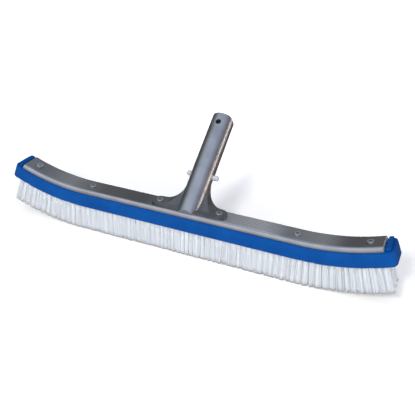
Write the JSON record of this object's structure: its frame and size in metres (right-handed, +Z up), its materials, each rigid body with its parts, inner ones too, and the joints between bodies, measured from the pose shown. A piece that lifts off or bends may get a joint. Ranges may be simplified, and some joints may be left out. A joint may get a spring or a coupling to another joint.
{
  "type": "pool wall brush",
  "caption": "Wide pool wall brush with raised ends: white bristle rows in a blue moulded body, an aluminium back plate, and a tilted cast handle with a spring clip for a pole.",
  "frame": {"origin": "middle of the bristle tips, in the plane that the brush stands on", "axes": "+X along the brush to the right, +Y to the back where the handle leans, +Z up from the tips to the back plate"},
  "size_m": [0.473, 0.1216, 0.1388],
  "materials": {
    "blue_plastic": "satin moulded",
    "plate_aluminium": "extruded mill finish",
    "cast_aluminium": "die cast, tumbled",
    "rivet_aluminium": "satin",
    "rivet_steel": "snapped",
    "bristle_nylon": "drawn filament",
    "spring_steel": "rolled strip",
    "button_plastic": "moulded"
  },
  "bodies": {
    "brush": {"brush_body": "blue_plastic", "back_plate": "plate_aluminium", "handle_tube": "cast_aluminium", "handle_foot": "cast_aluminium", "bristle_row_1": "bristle_nylon", "bristle_row_2": "bristle_nylon", "bristle_row_3": "bristle_nylon", "bristle_row_4": "bristle_nylon", "bristle_row_5": "bristle_nylon", "plate_rivet_left_end": "rivet_aluminium", "plate_rivet_mandrel_left_end": "rivet_steel", "plate_rivet_left_middle": "rivet_aluminium", "plate_rivet_mandrel_left_middle": "rivet_steel", "plate_rivet_right_middle": "rivet_aluminium", "plate_rivet_mandrel_right_middle": "rivet_steel", "plate_rivet_right_end": "rivet_aluminium", "plate_rivet_mandrel_right_end": "rivet_steel", "foot_rivet_left": "rivet_aluminium", "foot_rivet_mandrel_left": "rivet_steel", "foot_rivet_right": "rivet_aluminium", "foot_rivet_mandrel_right": "rivet_steel", "clip_bend": "spring_steel"},
    "clip_left": {"clip_arm_left": "spring_steel", "clip_button_left": "button_plastic"},
    "clip_right": {"clip_arm_right": "spring_steel", "clip_button_right": "button_plastic"}
  },
  "joints": [
    {"name": "clip_left_press", "type": "hinge", "parent": "brush", "child": "clip_left", "pos_m": [-0.0036, 0.06691, 0.10204], "axis": [0, -0.6198, 0.7848], "range_deg": [0, 10], "stiffness_Nm_per_rad": 0.6, "springref_deg": -9.74},
    {"name": "clip_right_press", "type": "hinge", "parent": "brush", "child": "clip_right", "pos_m": [0.0036, 0.06691, 0.10204], "axis": [0, 0.6198, -0.7848], "range_deg": [0, 10], "stiffness_Nm_per_rad": 0.6, "springref_deg": -9.74}
  ]
}
